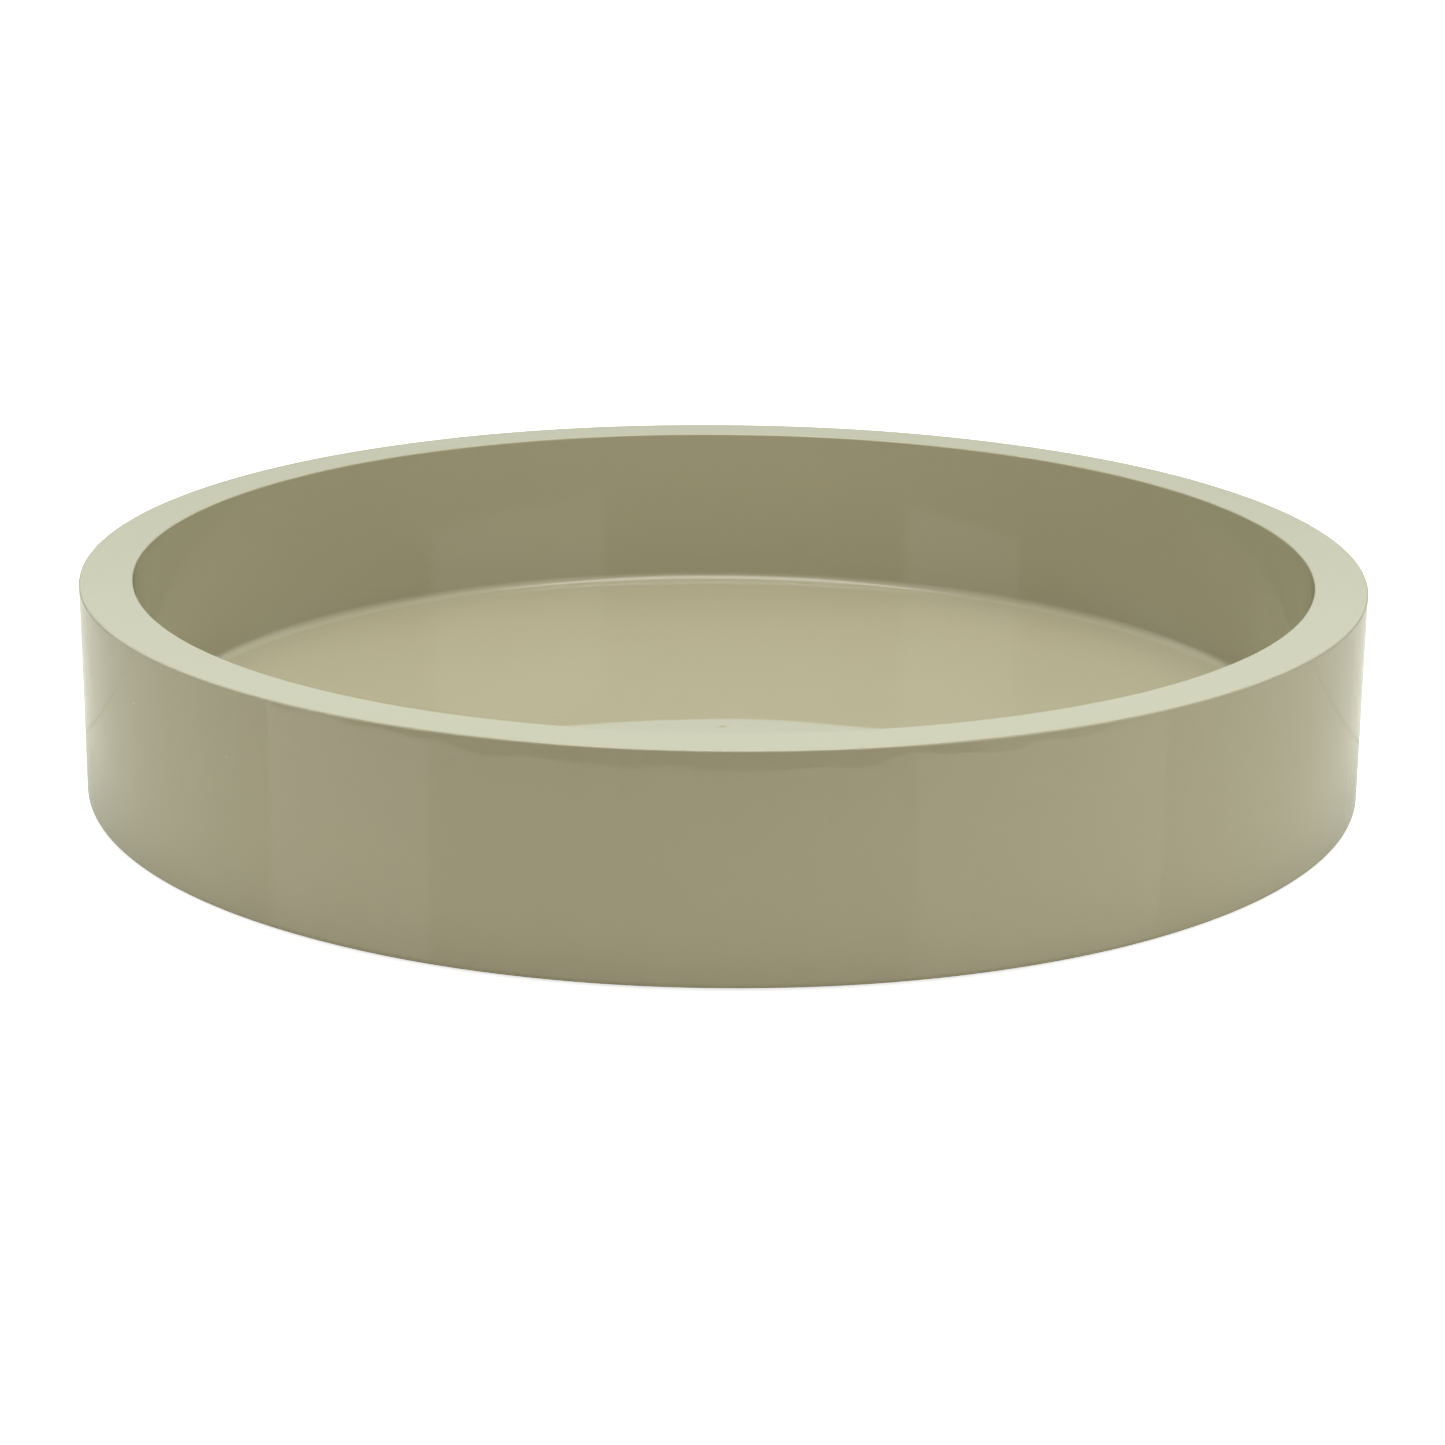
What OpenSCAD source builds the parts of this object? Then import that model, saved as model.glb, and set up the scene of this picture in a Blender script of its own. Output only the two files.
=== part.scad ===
// Round vanity tray with a straight thick wall: a stack of sheet rings dowelled and glued on a disc,
// sealed in one film of gloss lacquer, standing on a felt pad.
// Origin at the middle of the face it stands on, +Z up.

/* [Tray] */
// Outside diameter of the finished tray
tray_d = 360; // [300:5:420]
// Finished thickness of the wall
wall_t = 14.7; // [13:0.1:20]
// Thickness of one ring: 12 mm sheet as it measures with its glue line
sheet_t = 12.2; // [9:0.1:15]
// Thickness of the floor disc: 12 mm sheet with both faces sanded true
base_t = 11; // [9:0.1:15]

/* [Lacquer] */
// Thickness of the lacquer film
coat_t = 0.3; // [0.2:0.05:0.5]
// Radius on the two edges of the rim
rim_edge_r = 0.6; // [0.6:0.1:3]
// Radius on the bottom outside edge
foot_edge_r = 1.6; // [0.6:0.1:4]
// Radius of the cove where the floor meets the wall
cove_r = 2.5; // [0.5:0.1:4]

/* [Dowels] */
// Diameter of a dowel
dowel_d = 6; // [4:0.5:6.5]
// Number of dowels round the wall
dowel_count = 8; // [4:1:12]
// Depth of the blind dowel holes in the disc and in the rim ring
dowel_socket = 8; // [5:0.5:8.5]

/* [Felt] */
// Thickness of the felt pad
felt_t = 1.2; // [0.8:0.1:2]
// How far the pad's edge stays inside the tray's outside
felt_inset = 8; // [5:0.5:20]

/* [Hidden] */
$fn = 180;

ring_count = 4;
outer_r = tray_d / 2;
inner_r = outer_r - wall_t;
felt_r = outer_r - felt_inset;
core_outer_r = outer_r - coat_t;
core_inner_r = inner_r + coat_t;
dowel_circle_r = (core_outer_r + core_inner_r) / 2;

foot_z = felt_t - coat_t;
base_top_z = felt_t + base_t;
floor_z = base_top_z + coat_t;
core_top_z = base_top_z + ring_count * sheet_t;
rim_z = core_top_z + coat_t;
dowel_bottom_z = base_top_z - dowel_socket;
dowel_top_z = core_top_z - sheet_t + dowel_socket;

// What is left of a square corner outside its round: the corner points to +X +Y
module corner_waste(r) {
    difference() {
        square(r);
        circle(r);
    }
}

// Cross-section of the wall from z0 up, "skin" inside the finished surface
module wall_section(z0, skin) {
    edge_r = rim_edge_r - skin;
    in_r = inner_r + skin;
    out_r = outer_r - skin;
    top_z = rim_z - skin;
    difference() {
        translate([in_r, z0]) square([out_r - in_r, top_z - z0]);
        translate([out_r - edge_r, top_z - edge_r]) corner_waste(edge_r);
        translate([in_r + edge_r, top_z - edge_r]) mirror([1, 0]) corner_waste(edge_r);
    }
}

// Cross-section of the floor disc, "skin" inside the finished surface
module base_section(skin) {
    edge_r = foot_edge_r - skin;
    out_r = outer_r - skin;
    low_z = foot_z + skin;
    difference() {
        translate([0, low_z]) square([out_r, floor_z - skin - low_z]);
        translate([out_r - edge_r, low_z + edge_r]) mirror([0, 1]) corner_waste(edge_r);
    }
}

// Cross-section of the whole finished tray, with its cove
module finished_section() {
    base_section(0);
    wall_section(floor_z, 0);
    translate([inner_r - cove_r, floor_z + cove_r]) mirror([0, 1]) corner_waste(cove_r);
}

// Cross-section of the wood under the lacquer
module core_section() {
    base_section(coat_t);
    wall_section(base_top_z, coat_t);
}

// Upright cylinders on the dowel circle: the dowels themselves, or the holes that they fill
module dowel_set(z0, z1) {
    for (i = [0:dowel_count - 1])
        rotate([0, 0, (i + 0.5) * 360 / dowel_count])
            translate([dowel_circle_r, 0, z0])
                cylinder(d = dowel_d, h = z1 - z0, $fn = 48);
}

// A plain ring of sheet, "level" rings above the disc, drilled right through for the dowels
module wall_ring(level) {
    ring_z = base_top_z + level * sheet_t;
    difference() {
        translate([0, 0, ring_z]) cylinder(r = core_outer_r, h = sheet_t);
        translate([0, 0, ring_z - 1]) cylinder(r = core_inner_r, h = sheet_t + 2);
        dowel_set(ring_z - 1, ring_z + sheet_t + 1);
    }
}

// The gloss film over the wood, open underneath where the felt is glued to the bare disc
module lacquer_coat() {
    color([0.70, 0.69, 0.58])
        rotate_extrude()
            difference() {
                finished_section();
                core_section();
                square([felt_r, felt_t]);
            }
}

// The floor disc with its blind dowel holes
module base_disc() {
    color([0.66, 0.52, 0.36])
        difference() {
            rotate_extrude() base_section(coat_t);
            dowel_set(dowel_bottom_z, base_top_z + 1);
        }
}

module bottom_wall_ring() {
    color([0.71, 0.57, 0.40]) wall_ring(0);
}

module lower_wall_ring() {
    color([0.68, 0.54, 0.38]) wall_ring(1);
}

module upper_wall_ring() {
    color([0.71, 0.57, 0.40]) wall_ring(2);
}

// The top ring with eased edges, its dowel holes blind from below
module rim_ring() {
    ring_z = core_top_z - sheet_t;
    color([0.68, 0.54, 0.38])
        difference() {
            rotate_extrude() wall_section(ring_z, coat_t);
            dowel_set(ring_z - 1, dowel_top_z);
        }
}

module wall_dowels() {
    color([0.86, 0.72, 0.52]) dowel_set(dowel_bottom_z, dowel_top_z);
}

module felt_pad() {
    color([0.20, 0.19, 0.17]) cylinder(r = felt_r, h = felt_t);
}

lacquer_coat();
base_disc();
bottom_wall_ring();
lower_wall_ring();
upper_wall_ring();
rim_ring();
wall_dowels();
felt_pad();
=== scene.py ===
"""Round gloss-lacquer vanity tray on a white floor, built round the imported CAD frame.

Two pieces are made here: the lacquer film and the felt. The wood and the dowels are the CAD's own
nodes, which get a material. All sizes are read from the frame, in metres.
"""
import math

import bpy
import numpy as np
from mathutils import Matrix, Vector


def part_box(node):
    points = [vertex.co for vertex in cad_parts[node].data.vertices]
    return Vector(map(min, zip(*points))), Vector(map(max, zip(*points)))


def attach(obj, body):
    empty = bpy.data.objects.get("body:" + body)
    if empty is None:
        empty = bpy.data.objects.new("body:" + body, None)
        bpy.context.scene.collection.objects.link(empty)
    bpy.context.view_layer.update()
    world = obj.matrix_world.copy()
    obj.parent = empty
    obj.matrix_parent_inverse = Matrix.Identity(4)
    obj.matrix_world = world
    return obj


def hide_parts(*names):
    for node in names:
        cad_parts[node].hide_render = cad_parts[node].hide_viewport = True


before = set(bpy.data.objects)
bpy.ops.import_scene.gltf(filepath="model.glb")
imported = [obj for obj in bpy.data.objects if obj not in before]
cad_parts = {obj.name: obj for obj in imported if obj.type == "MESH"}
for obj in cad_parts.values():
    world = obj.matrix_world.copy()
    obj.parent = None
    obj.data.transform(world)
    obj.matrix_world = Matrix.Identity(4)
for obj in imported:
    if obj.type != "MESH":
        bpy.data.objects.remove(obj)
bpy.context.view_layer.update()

MM = 0.001


# ---------------------------------------------------------------- sizes, all read from the frame

def vertices(node):
    """Every vertex of a CAD node as (distance from the tray's axis, height)."""
    co = np.array([v.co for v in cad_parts[node].data.vertices])
    return np.hypot(co[:, 0], co[:, 1]), co[:, 2]


def widest_at(node, z):
    """The largest radius that a CAD node has at height z."""
    r, height = vertices(node)
    return float(r[np.abs(height - z) < 0.01 * MM].max())


FOOT_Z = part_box("lacquer_coat")[0].z
RIM_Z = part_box("lacquer_coat")[1].z
COAT = RIM_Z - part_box("rim_ring")[1].z
WOOD_FLOOR_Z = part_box("base_disc")[1].z
WOOD_FOOT_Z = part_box("base_disc")[0].z
FLOOR_Z = WOOD_FLOOR_Z + COAT
OUTER_R = float(vertices("lacquer_coat")[0].max())
INNER_R = float(vertices("rim_ring")[0].min()) - COAT
FELT_R = float(vertices("felt_pad")[0].max())
FELT_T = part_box("felt_pad")[1].z
RIM_EDGE = OUTER_R - widest_at("lacquer_coat", RIM_Z)
FOOT_EDGE = OUTER_R - widest_at("lacquer_coat", FOOT_Z)
COVE = INNER_R - widest_at("lacquer_coat", FLOOR_Z)


# ---------------------------------------------------------------- camera

CAMERA_BACK = 5.5702 * OUTER_R
CAMERA_UP = 1.7044 * OUTER_R
CAMERA_AIM = 0.85 * MM
CAMERA_ROLL = math.radians(0.475)
CAMERA_LENS = 91.05
SENSOR = 36


def make_camera():
    """A long lens looking down at a shallow angle, aimed at the middle of the tray's floor."""
    place = Vector((0, -CAMERA_BACK, FLOOR_Z + CAMERA_UP))
    look = Vector((0, 0, FLOOR_Z + CAMERA_AIM)) - place
    data = bpy.data.cameras.new("camera")
    data.sensor_width = SENSOR
    data.lens = CAMERA_LENS
    camera = bpy.data.objects.new("camera", data)
    bpy.context.scene.collection.objects.link(camera)
    camera.matrix_world = (
        Matrix.Translation(place)
        @ look.to_track_quat("-Z", "Y").to_matrix().to_4x4()
        @ Matrix.Rotation(CAMERA_ROLL, 4, "Z")
    )
    bpy.context.scene.camera = camera


# ---------------------------------------------------------------- mesh helpers

GUARD = 0.06 * MM
ON_AXIS = 1e-6 * MM


def line(start, end, steps):
    """Points from start up to, but not at, end.

    A row just inside each end keeps the flat's shading flat right up to the rounding beside it.
    """
    start, end = Vector(start), Vector(end)
    guard = GUARD / (end - start).length
    shares = [0.0, guard] + [i / steps for i in range(1, steps)] + [1.0 - guard]
    return [tuple(start.lerp(end, t)) for t in shares]


def arc(centre, radius, from_deg, to_deg, steps):
    """Points round an arc, up to, but not at, its end."""
    angles = [math.radians(from_deg + (to_deg - from_deg) * i / steps) for i in range(steps)]
    return [(centre[0] + radius * math.cos(a), centre[1] + radius * math.sin(a)) for a in angles]


def outward(profile, i):
    """The profile's unit normal at one of its points, away from the body."""
    before, after = profile[i - 1], profile[(i + 1) % len(profile)]
    along = Vector(after) - Vector(before)
    return Vector((along.y, -along.x)).normalized()


def revolve(name, profile, segments, moved=0, shift=None):
    """A closed body of revolution round the tray's axis.

    The profile is a loop of (radius, height) that may touch the axis. shift(x, y, z) is how far a
    point moves along the profile's normal, and applies to the loop's first `moved` points.
    """
    verts, rows = [], []
    for i, (r, z) in enumerate(profile):
        count = segments if r > ON_AXIS else 1
        rows.append([len(verts) + k % count for k in range(segments)])
        normal = outward(profile, i)
        for k in range(count):
            a = 2 * math.pi * k / segments
            d = shift(r * math.cos(a), r * math.sin(a), z) if i < moved and r > ON_AXIS else 0.0
            rr = r + d * normal[0]
            verts.append((rr * math.cos(a), rr * math.sin(a), z + d * normal[1]))
    faces = []
    for low, high in zip(rows, rows[1:] + rows[:1]):
        for k in range(segments):
            n = (k + 1) % segments
            corners = [low[k], low[n], high[n], high[k]]
            unique = [c for i, c in enumerate(corners) if c not in corners[:i]]
            if len(unique) > 2:
                faces.append(unique)
    mesh = bpy.data.meshes.new(name)
    mesh.from_pydata(verts, [], faces)
    mesh.validate()
    mesh.shade_smooth()
    piece = bpy.data.objects.new(name, mesh)
    bpy.context.scene.collection.objects.link(piece)
    return piece


def finish_piece(piece, surface, slot, *nodes):
    """Gives a piece its material and its place in the frame."""
    piece.data.materials.append(surface)
    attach(piece, "root")
    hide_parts(*nodes)


# ---------------------------------------------------------------- pieces

ROUND_STEPS = 540
EDGE_STEPS = 12
BACK_STEPS = 6

# Rows of faces along the straight stretches of the lacquer's skin
FOOT_ROWS = 4
WALL_ROWS = 26
RIM_ROWS = 8
WELL_ROWS = 20
FLOOR_ROWS = 40

WAVE_HEIGHT = 0.010 * MM
RIPPLE_HEIGHT = 0.014 * MM
RIPPLE_DEPTH = 10 * MM


def hand_polish(x, y, z):
    """How far hand sanding and polishing leave the lacquer from a true surface of revolution.

    There are long waves all over, and shorter ripples round the outside of the wall, mostly near
    the rim.
    """
    wave = (
        math.sin(61 * x - 37 * y + 70 * z)
        + 0.7 * math.sin(52 * y + 95 * x - 110 * z + 1.3)
        + 0.5 * math.sin(140 * x + 60 * y + 130 * z + 2.1)
        + 0.4 * math.sin(150 * y - 75 * x - 90 * z + 0.4)
    )
    if math.hypot(x, y) < OUTER_R - RIM_EDGE:
        return WAVE_HEIGHT * wave
    around = math.atan2(x, -y)
    ripple = (
        math.sin(37 * around + 0.9)
        + 0.8 * math.sin(61 * around + 2.4)
        + 0.6 * math.sin(17 * around)
    )
    below_rim = (RIM_Z - z) / RIPPLE_DEPTH
    fade = below_rim * math.exp(1 - below_rim)
    return WAVE_HEIGHT * wave + RIPPLE_HEIGHT * fade * ripple


def make_lacquer(surface):
    """The film over the whole tray: its gloss skin outside, and its face against the wood inside."""
    wood_out = OUTER_R - COAT
    wood_in = INNER_R + COAT
    wood_rim = RIM_Z - COAT
    skin = (
        line((FELT_R, FOOT_Z), (OUTER_R - FOOT_EDGE, FOOT_Z), FOOT_ROWS)
        + arc((OUTER_R - FOOT_EDGE, FOOT_Z + FOOT_EDGE), FOOT_EDGE, -90, 0, EDGE_STEPS)
        + line((OUTER_R, FOOT_Z + FOOT_EDGE), (OUTER_R, RIM_Z - RIM_EDGE), WALL_ROWS)
        + arc((OUTER_R - RIM_EDGE, RIM_Z - RIM_EDGE), RIM_EDGE, 0, 90, EDGE_STEPS)
        + line((OUTER_R - RIM_EDGE, RIM_Z), (INNER_R + RIM_EDGE, RIM_Z), RIM_ROWS)
        + arc((INNER_R + RIM_EDGE, RIM_Z - RIM_EDGE), RIM_EDGE, 90, 180, EDGE_STEPS)
        + line((INNER_R, RIM_Z - RIM_EDGE), (INNER_R, FLOOR_Z + COVE), WELL_ROWS)
        + arc((INNER_R - COVE, FLOOR_Z + COVE), COVE, 0, -90, EDGE_STEPS)
        + line((INNER_R - COVE, FLOOR_Z), (0, FLOOR_Z), FLOOR_ROWS)
        + [(0, FLOOR_Z)]
    )
    rim_edge = RIM_EDGE - COAT
    foot_edge = FOOT_EDGE - COAT
    back = (
        [(0, WOOD_FLOOR_Z), (wood_in, WOOD_FLOOR_Z)]
        + arc((wood_in + rim_edge, wood_rim - rim_edge), rim_edge, 180, 90, BACK_STEPS)
        + arc((wood_out - rim_edge, wood_rim - rim_edge), rim_edge, 90, 0, BACK_STEPS)
        + arc((wood_out - foot_edge, WOOD_FOOT_Z + foot_edge), foot_edge, 0, -90, BACK_STEPS)
        + [(wood_out - foot_edge, WOOD_FOOT_Z), (FELT_R, WOOD_FOOT_Z)]
    )
    film = revolve("lacquer_film", skin + back, ROUND_STEPS, len(skin), hand_polish)
    finish_piece(film, surface, "lacquer", "lacquer_coat")


FELT_EDGE = 0.4 * MM
FELT_WAVE = 0.05 * MM
FELT_FACE_ROWS = 50
FELT_SIDE_ROWS = 2


def felt_unevenness(x, y, z):
    """How far the pressed felt's face and rim stand back from its nominal size."""
    lumps = math.sin(210 * x + 40 * z) * math.sin(190 * y) + math.sin(90 * x - 130 * y + 0.8)
    return -FELT_WAVE * (1 + 0.5 * lumps)


def make_felt(surface):
    """The die-cut felt disc: a softened edge and a face that undulates a little."""
    profile = (
        line((0, 0), (FELT_R - FELT_EDGE, 0), FELT_FACE_ROWS)
        + arc((FELT_R - FELT_EDGE, FELT_EDGE), FELT_EDGE, -90, 0, BACK_STEPS)
        + line((FELT_R, FELT_EDGE), (FELT_R, FELT_T), FELT_SIDE_ROWS)
    )
    moved = len(profile) - 1
    profile += [(FELT_R, FELT_T), (0, FELT_T)]
    pad = revolve("felt_underside", profile, ROUND_STEPS, moved, felt_unevenness)
    finish_piece(pad, surface, "felt", "felt_pad")


# ---------------------------------------------------------------- materials

def material(name):
    """A new material with its Principled shader and a position in the tray's own frame."""
    m = bpy.data.materials.new(name)
    m.use_nodes = True
    nodes = m.node_tree.nodes
    shader = nodes["Principled BSDF"]
    place = nodes.new("ShaderNodeTexCoord").outputs["Object"]
    return m, nodes, m.node_tree.links, shader, place


def noise(nodes, links, place, scale, detail=3.0, roughness=0.5):
    """A noise pattern with its scale in features per metre."""
    n = nodes.new("ShaderNodeTexNoise")
    n.inputs["Scale"].default_value = scale
    n.inputs["Detail"].default_value = detail
    n.inputs["Roughness"].default_value = roughness
    links.new(place, n.inputs["Vector"])
    return n.outputs["Fac"]


def spread(nodes, links, value, low, high, from_low=0.3, from_high=0.7):
    """Maps a pattern onto a range. Most of a noise lies between 0.3 and 0.7."""
    n = nodes.new("ShaderNodeMapRange")
    n.inputs["From Min"].default_value = from_low
    n.inputs["From Max"].default_value = from_high
    n.inputs["To Min"].default_value = low
    n.inputs["To Max"].default_value = high
    links.new(value, n.inputs["Value"])
    return n.outputs["Result"]


def bump(nodes, links, height, depth, under=None):
    """A bump normal from a 0 to 1 pattern that is depth metres high, over another bump."""
    n = nodes.new("ShaderNodeBump")
    n.inputs["Distance"].default_value = depth
    links.new(height, n.inputs["Height"])
    if under:
        links.new(under, n.inputs["Normal"])
    return n.outputs["Normal"]


def blend(nodes, links, factor, first, second):
    """Mixes two colours by a pattern, through the Mix node's sockets for colour."""
    n = nodes.new("ShaderNodeMix")
    n.data_type = "RGBA"
    links.new(factor, n.inputs[0])
    for socket, colour in ((n.inputs[6], first), (n.inputs[7], second)):
        if isinstance(colour, tuple):
            socket.default_value = (*colour, 1.0)
        else:
            links.new(colour, socket)
    return n.outputs[2]


def tint(nodes, links, shader, pattern, dark, light):
    """Colours a surface between two tones by a noise pattern."""
    colour = blend(nodes, links, spread(nodes, links, pattern, 0, 1), dark, light)
    links.new(colour, shader.inputs["Base Color"])


LACQUER = (0.43, 0.403, 0.268)
LACQUER_IOR = 1.5
LACQUER_ROUGHNESS = (0.015, 0.035)
HAZE_SCALE = 35.0
MOTTLE = 0.012
MOTTLE_SCALE = 9.0
DUST = (0.66, 0.64, 0.55)
NIB_SCALE = 48.0
NIB_R = 0.35 * MM
NIB_HEIGHT = 0.02 * MM
PEEL_SCALE = 170.0
PEEL_HEIGHT = 0.0012 * MM


def lacquer_material():
    """Polished lacquer: even colour, a mirror surface with a trace of orange peel, and dust nibs."""
    m, nodes, links, shader, place = material("gloss_lacquer")
    light = tuple(c * (1 + MOTTLE) for c in LACQUER)
    dark = tuple(c * (1 - MOTTLE) for c in LACQUER)
    mottle = spread(nodes, links, noise(nodes, links, place, MOTTLE_SCALE, 4.0), 0, 1)
    cell = nodes.new("ShaderNodeTexVoronoi")
    cell.inputs["Scale"].default_value = NIB_SCALE
    links.new(place, cell.inputs["Vector"])
    nib_r = NIB_R * NIB_SCALE
    nib = spread(nodes, links, cell.outputs["Distance"], 1.0, 0.0, 0.4 * nib_r, nib_r)
    even = blend(nodes, links, mottle, dark, light)
    links.new(blend(nodes, links, nib, even, DUST), shader.inputs["Base Color"])
    haze = noise(nodes, links, place, HAZE_SCALE, 5.0)
    links.new(spread(nodes, links, haze, *LACQUER_ROUGHNESS), shader.inputs["Roughness"])
    peel = noise(nodes, links, place, PEEL_SCALE, 2.0)
    orange_peel = bump(nodes, links, peel, PEEL_HEIGHT)
    links.new(bump(nodes, links, nib, NIB_HEIGHT, orange_peel), shader.inputs["Normal"])
    shader.inputs["IOR"].default_value = LACQUER_IOR
    return m


BOARD_TONES = ((0.30, 0.19, 0.10), (0.48, 0.33, 0.19))
BOARD_FIBRE_SCALE = 900.0


def board_material():
    """Raw fibreboard: fine felted fibres in brown."""
    m, nodes, links, shader, place = material("raw_fibreboard")
    fibre = noise(nodes, links, place, BOARD_FIBRE_SCALE, 6.0, 0.7)
    tint(nodes, links, shader, fibre, *BOARD_TONES)
    links.new(spread(nodes, links, fibre, 0.8, 0.95), shader.inputs["Roughness"])
    return m


DOWEL_TONES = ((0.55, 0.36, 0.19), (0.74, 0.54, 0.33))
DOWEL_GRAIN_SCALE = 1500.0
DOWEL_GRAIN_DRAW = 0.06


def dowel_material():
    """Beech dowel: pale wood with grain drawn out along its length."""
    m, nodes, links, shader, place = material("beech_dowel")
    stretch = nodes.new("ShaderNodeMapping")
    stretch.inputs["Scale"].default_value = (1.0, 1.0, DOWEL_GRAIN_DRAW)
    links.new(place, stretch.inputs["Vector"])
    grain = noise(nodes, links, stretch.outputs["Vector"], DOWEL_GRAIN_SCALE, 4.0)
    tint(nodes, links, shader, grain, *DOWEL_TONES)
    links.new(spread(nodes, links, grain, 0.5, 0.7), shader.inputs["Roughness"])
    return m


FELT_TONES = ((0.035, 0.03, 0.025), (0.09, 0.082, 0.07))
FELT_FIBRE_SCALE = 1400.0


def felt_material():
    """Short dense felt in charcoal brown."""
    m, nodes, links, shader, place = material("pressed_felt")
    fibre = noise(nodes, links, place, FELT_FIBRE_SCALE, 5.0, 0.75)
    tint(nodes, links, shader, fibre, *FELT_TONES)
    shader.inputs["Roughness"].default_value = 0.95
    shader.inputs["Sheen Weight"].default_value = 0.3
    return m


# ---------------------------------------------------------------- studio

TABLE_R = 1.99 * OUTER_R
SURROUND_R = 6.0
BOUNCE_Z = -0.2 * MM
SECTOR_STEPS = 120
DARK_FROM, DARK_TO = -51, 33
SEAM_Y = 28 * MM
SEAM_W = 1.4 * MM
BACKDROP_SIDES = 64
BACKDROP_HIGH = 4.0
FLOOR_GLOW = 0.8
LAMP_Z = 1.2
STAND_LOW = 0.03
STAND_HIGH = 0.30

# Each card's darker and lighter tone
CARD_MOTTLE_SCALE = 2.0
FLOOR_TONES = ((0.93, 0.93, 0.92), (0.95, 0.95, 0.94))
SHADED_TONES = ((0.04, 0.035, 0.03), (0.05, 0.045, 0.04))
PALE_TONES = ((0.34, 0.33, 0.29), (0.37, 0.36, 0.31))
SEAM_TONES = ((0.53, 0.50, 0.42), (0.56, 0.53, 0.44))
TABLE_COLOUR = (0.76, 0.73, 0.62)
TABLE_PALER = 1.03
TABLE_GLOSS = 0.65
TABLE_ROUGHNESS = 0.04

# The tent's colours, by height and by side
LOW_FRONT = (0.05, 0.05, 0.05)
SKIRTING_BACK = (0.58, 0.68, 0.66)
LOW_BACK = (0.79, 0.94, 0.94)
HIGH_FRONT = (0.85, 0.82, 0.80)
HIGH_SIDE = (0.05, 0.05, 0.05)
HIGH_BACK = (1.06, 1.07, 1.06)
OVERHEAD = (0.52, 0.52, 0.52)

# Where one colour turns into the next: the first three in degrees above the horizon, and the
# rest from -1 straight in front of the tray to 1 straight behind it
SKIRTING_TOP = (12, 16.2)
LOW_TOP = (26, 34)
TENT_TOP = (53, 58)
LOW_TO_BACK = (-0.4, 0.35)
HIGH_TO_SIDE = (-0.7, -0.3)
HIGH_TO_BACK = (0.3, 0.7)


def stage_card(name, points, faces, surface, camera_sees=False):
    """A flat stage object. The camera sees the floor and backdrop, and the tray reflects the rest."""
    mesh = bpy.data.meshes.new(name)
    mesh.from_pydata(points, [], faces)
    mesh.materials.append(surface)
    card = bpy.data.objects.new(name, mesh)
    bpy.context.scene.collection.objects.link(card)
    card.visible_camera = camera_sees
    card.visible_diffuse = not camera_sees
    card.visible_glossy = not camera_sees
    card.visible_shadow = False
    return card


def sector(name, inner, outer, from_deg, to_deg, surface):
    """A flat ring sector round the tray; degrees run from the front, -Y, towards +X."""
    points = []
    for i in range(SECTOR_STEPS + 1):
        a = math.radians(from_deg + (to_deg - from_deg) * i / SECTOR_STEPS)
        points += [(r * math.sin(a), -r * math.cos(a), BOUNCE_Z) for r in (inner, outer)]
    faces = [(2 * i, 2 * i + 1, 2 * i + 3, 2 * i + 2) for i in range(SECTOR_STEPS)]
    stage_card(name, points, faces, surface)


def card_surface(name, dark, light, gloss=0.0):
    """A plain matt or polished surface for a stage object, with a faint unevenness."""
    m, nodes, links, shader, place = material(name)
    mottle = noise(nodes, links, place, CARD_MOTTLE_SCALE)
    links.new(blend(nodes, links, mottle, dark, light), shader.inputs["Base Color"])
    shader.inputs["Roughness"].default_value = TABLE_ROUGHNESS if gloss else 1.0
    shader.inputs["Specular IOR Level"].default_value = gloss
    return m


def white_floor():
    """White that glows, so that it stays white far from the lamps and close under the tray's foot."""
    m, nodes, links, shader, place = material("white_floor")
    mottle = noise(nodes, links, place, CARD_MOTTLE_SCALE)
    white = blend(nodes, links, mottle, *FLOOR_TONES)
    links.new(white, shader.inputs["Base Color"])
    shader.inputs["Roughness"].default_value = 1.0
    shader.inputs["Specular IOR Level"].default_value = 0.0
    shader.inputs["Emission Color"].default_value = (1.0, 1.0, 1.0, 1.0)
    shader.inputs["Emission Strength"].default_value = FLOOR_GLOW
    return m


def make_floor():
    """A plain white floor and round backdrop, seen by the camera but not by the tray."""
    far = SURROUND_R
    white = white_floor()
    square = [(-far, -far, 0), (far, -far, 0), (far, far, 0), (-far, far, 0)]
    stage_card("floor", square, [(0, 1, 2, 3)], white, True)
    count = BACKDROP_SIDES
    angles = [2 * math.pi * i / count for i in range(count)]
    wall = [(far * math.cos(a), far * math.sin(a), z) for z in (0, BACKDROP_HIGH) for a in angles]
    panels = [(i, (i + 1) % count, (i + 1) % count + count, i + count) for i in range(count)]
    stage_card("backdrop", wall, panels, white, True)


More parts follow.
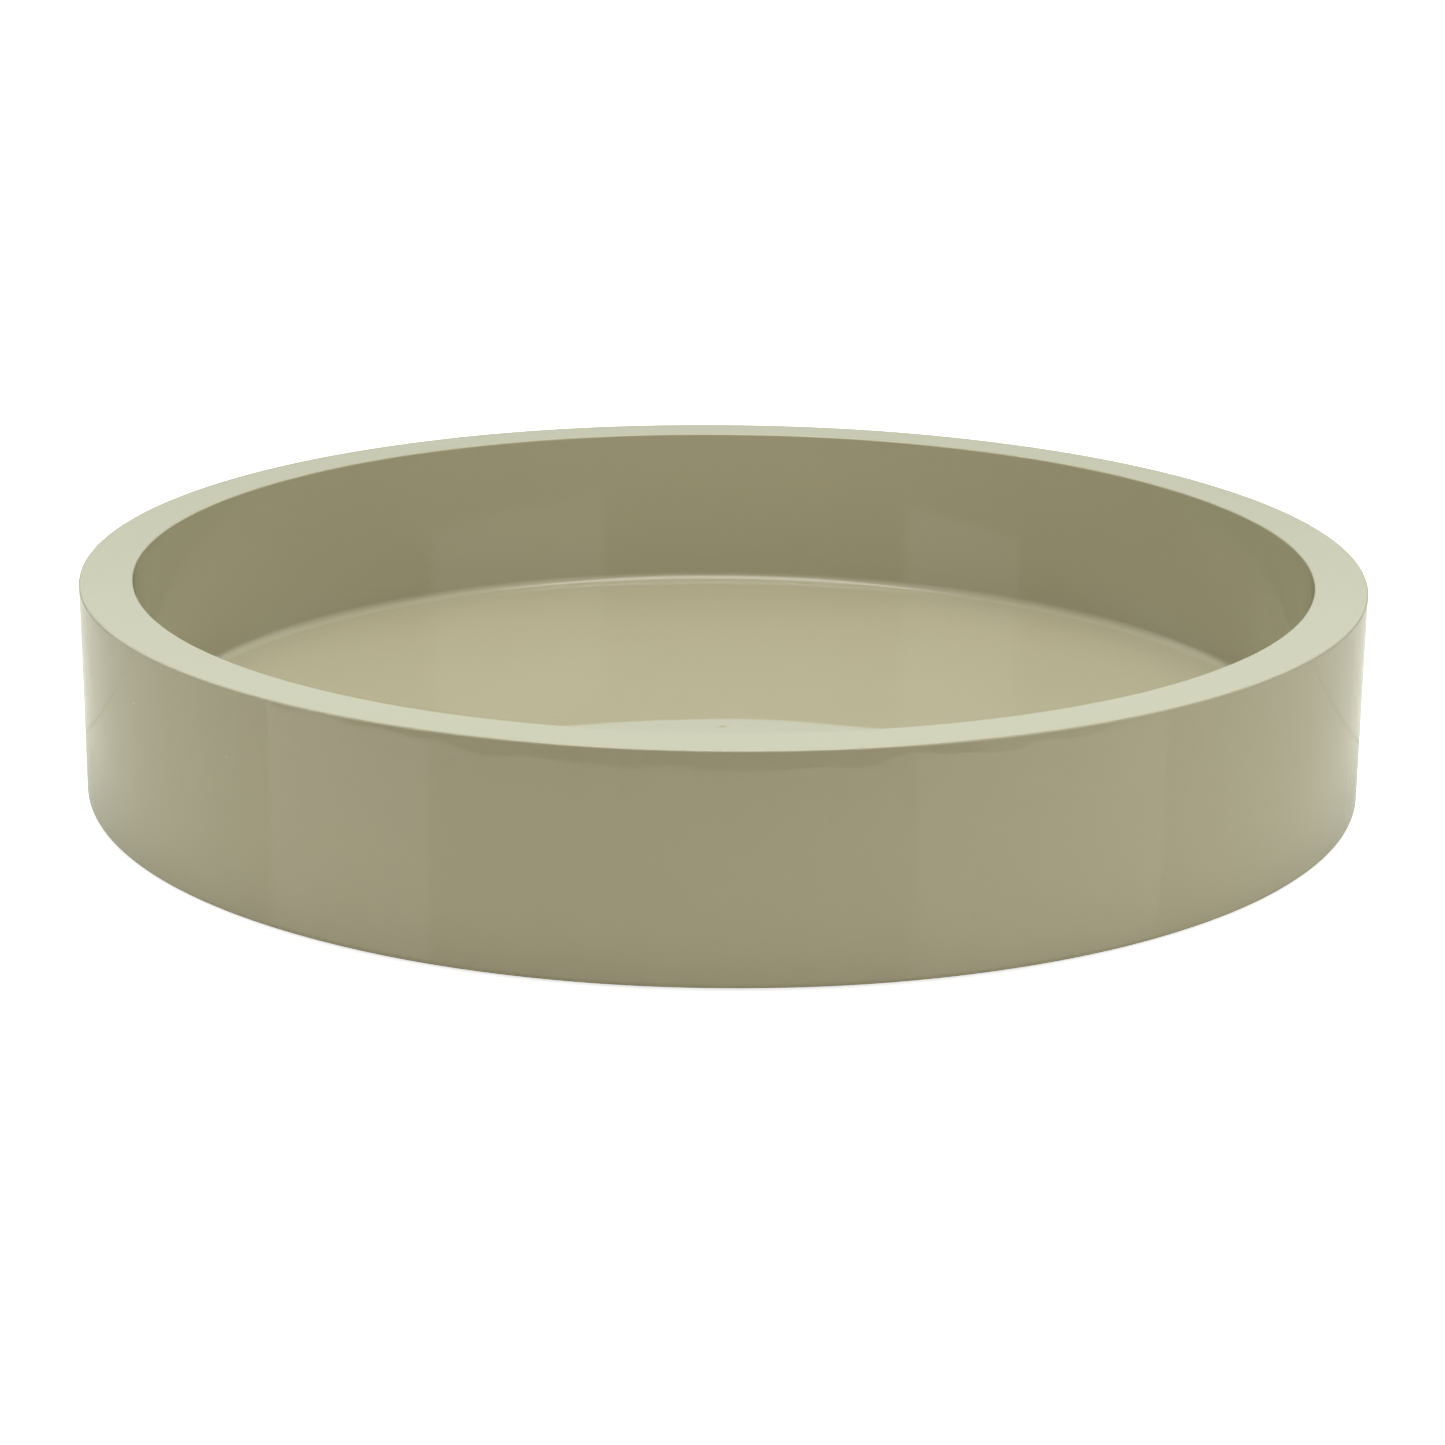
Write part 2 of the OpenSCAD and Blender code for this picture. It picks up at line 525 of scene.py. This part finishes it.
def make_table():
    """The polished white table, its seam and its surroundings, which the tray's gloss shows."""
    paler = tuple(c * TABLE_PALER for c in TABLE_COLOUR)
    white = card_surface("white_table", TABLE_COLOUR, paler, TABLE_GLOSS)
    shade = card_surface("shaded_surround", *SHADED_TONES)
    pale = card_surface("pale_surround", *PALE_TONES)
    dull = card_surface("table_seam", *SEAM_TONES)
    sector("table", 0.0, TABLE_R, -180, 180, white)
    sector("front_surround", TABLE_R, SURROUND_R, DARK_FROM, DARK_TO, shade)
    sector("back_surround", TABLE_R, SURROUND_R, DARK_TO, DARK_FROM + 360, pale)
    low = SEAM_Y - SEAM_W / 2
    high = SEAM_Y + SEAM_W / 2
    z = BOUNCE_Z / 2
    strip = [(-TABLE_R, low, z), (TABLE_R, low, z), (TABLE_R, high, z), (-TABLE_R, high, z)]
    stage_card("seam", strip, [(0, 1, 2, 3)], dull)


def softbox(name, size, place, aim, radiance):
    """A soft rectangular lamp that looks as bright as its radiance says, from any distance."""
    data = bpy.data.lights.new(name, "AREA")
    data.shape = "RECTANGLE"
    data.size, data.size_y = size
    data.energy = radiance * math.pi * size[0] * size[1]
    lamp = bpy.data.objects.new(name, data)
    bpy.context.scene.collection.objects.link(lamp)
    lamp.location = place
    lamp.rotation_mode = "QUATERNION"
    lamp.rotation_quaternion = (Vector(aim) - Vector(place)).to_track_quat("-Z", "Y")


def overhead_softbox(name, size, x, y, radiance):
    """A level softbox over the table, facing straight down."""
    softbox(name, size, (x, y, LAMP_Z), (x, y, 0), radiance)


def standing_softbox(name, left, right, radiance):
    """An upright softbox between two points on the table, facing the tray."""
    left, right = Vector(left), Vector(right)
    middle = (left + right) / 2
    place = (middle.x, middle.y, (STAND_LOW + STAND_HIGH) / 2)
    size = ((right - left).length, STAND_HIGH - STAND_LOW)
    softbox(name, size, place, (0, 0, place[2]), radiance)


def math_node(nodes, links, operation, *values):
    """A Math node over numbers or other nodes' outputs."""
    n = nodes.new("ShaderNodeMath")
    n.operation = operation
    for socket, value in zip(n.inputs, values):
        if isinstance(value, float):
            socket.default_value = value
        else:
            links.new(value, socket)
    return n.outputs["Value"]


def smooth(nodes, links, value, start, end):
    """0 below start, 1 above end, and an even curve between."""
    n = nodes.new("ShaderNodeMapRange")
    n.interpolation_type = "SMOOTHSTEP"
    n.inputs["From Min"].default_value = start
    n.inputs["From Max"].default_value = end
    links.new(value, n.inputs["Value"])
    return n.outputs["Result"]


def rising(nodes, links, height, start_deg, end_deg):
    """0 below one angle above the horizon, 1 above another, where height is the sine of the angle."""
    start, end = (math.sin(math.radians(d)) for d in (start_deg, end_deg))
    return smooth(nodes, links, height, start, end)


def make_world():
    """The tent round the table: pale behind, dark low down in front, and bright above."""
    world = bpy.data.worlds.new("studio")
    world.use_nodes = True
    nodes, links = world.node_tree.nodes, world.node_tree.links
    way = nodes.new("ShaderNodeSeparateXYZ")
    links.new(nodes.new("ShaderNodeTexCoord").outputs["Generated"], way.inputs["Vector"])
    y, z = way.outputs["Y"], way.outputs["Z"]
    z_squared = math_node(nodes, links, "MULTIPLY", z, z)
    level = math_node(nodes, links, "SQRT", math_node(nodes, links, "SUBTRACT", 1.0, z_squared))
    behind = math_node(nodes, links, "DIVIDE", y, level)
    back = blend(nodes, links, rising(nodes, links, z, *SKIRTING_TOP), SKIRTING_BACK, LOW_BACK)
    low = blend(nodes, links, smooth(nodes, links, behind, *LOW_TO_BACK), LOW_FRONT, back)
    ahead = blend(nodes, links, smooth(nodes, links, behind, *HIGH_TO_SIDE), HIGH_FRONT, HIGH_SIDE)
    high = blend(nodes, links, smooth(nodes, links, behind, *HIGH_TO_BACK), ahead, HIGH_BACK)
    tent = blend(nodes, links, rising(nodes, links, z, *LOW_TOP), low, high)
    whole = blend(nodes, links, rising(nodes, links, z, *TENT_TOP), tent, OVERHEAD)
    links.new(whole, nodes["Background"].inputs["Color"])
    bpy.context.scene.world = world


def make_studio():
    """Every light and card."""
    make_world()
    make_floor()
    make_table()
    overhead_softbox("overhead", size=(0.8, 0.8), x=0, y=0, radiance=4.2)
    overhead_softbox("overhead_front", size=(0.8, 0.5), x=0, y=-0.65, radiance=3.0)
    overhead_softbox("overhead_back", size=(0.8, 0.5), x=0, y=0.65, radiance=0.6)
    overhead_softbox("overhead_right", size=(0.6, 0.8), x=0.7, y=0, radiance=0.7)
    standing_softbox("front_right", left=(0.33, -0.61), right=(0.66, -0.22), radiance=1.35)
    standing_softbox("front_left", left=(-0.63, -0.21), right=(-0.40, -0.43), radiance=1.5)
    bpy.context.scene.view_settings.view_transform = "Standard"


def dress(node, surface):
    """Puts a material on a CAD node that stays in the visual model."""
    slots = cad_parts[node].data.materials
    slots.clear()
    slots.append(surface)


make_camera()
make_lacquer(lacquer_material())
make_felt(felt_material())
board = board_material()
for node in ("base_disc", "bottom_wall_ring", "lower_wall_ring", "upper_wall_ring", "rim_ring"):
    dress(node, board)
dress("wall_dowels", dowel_material())
make_studio()
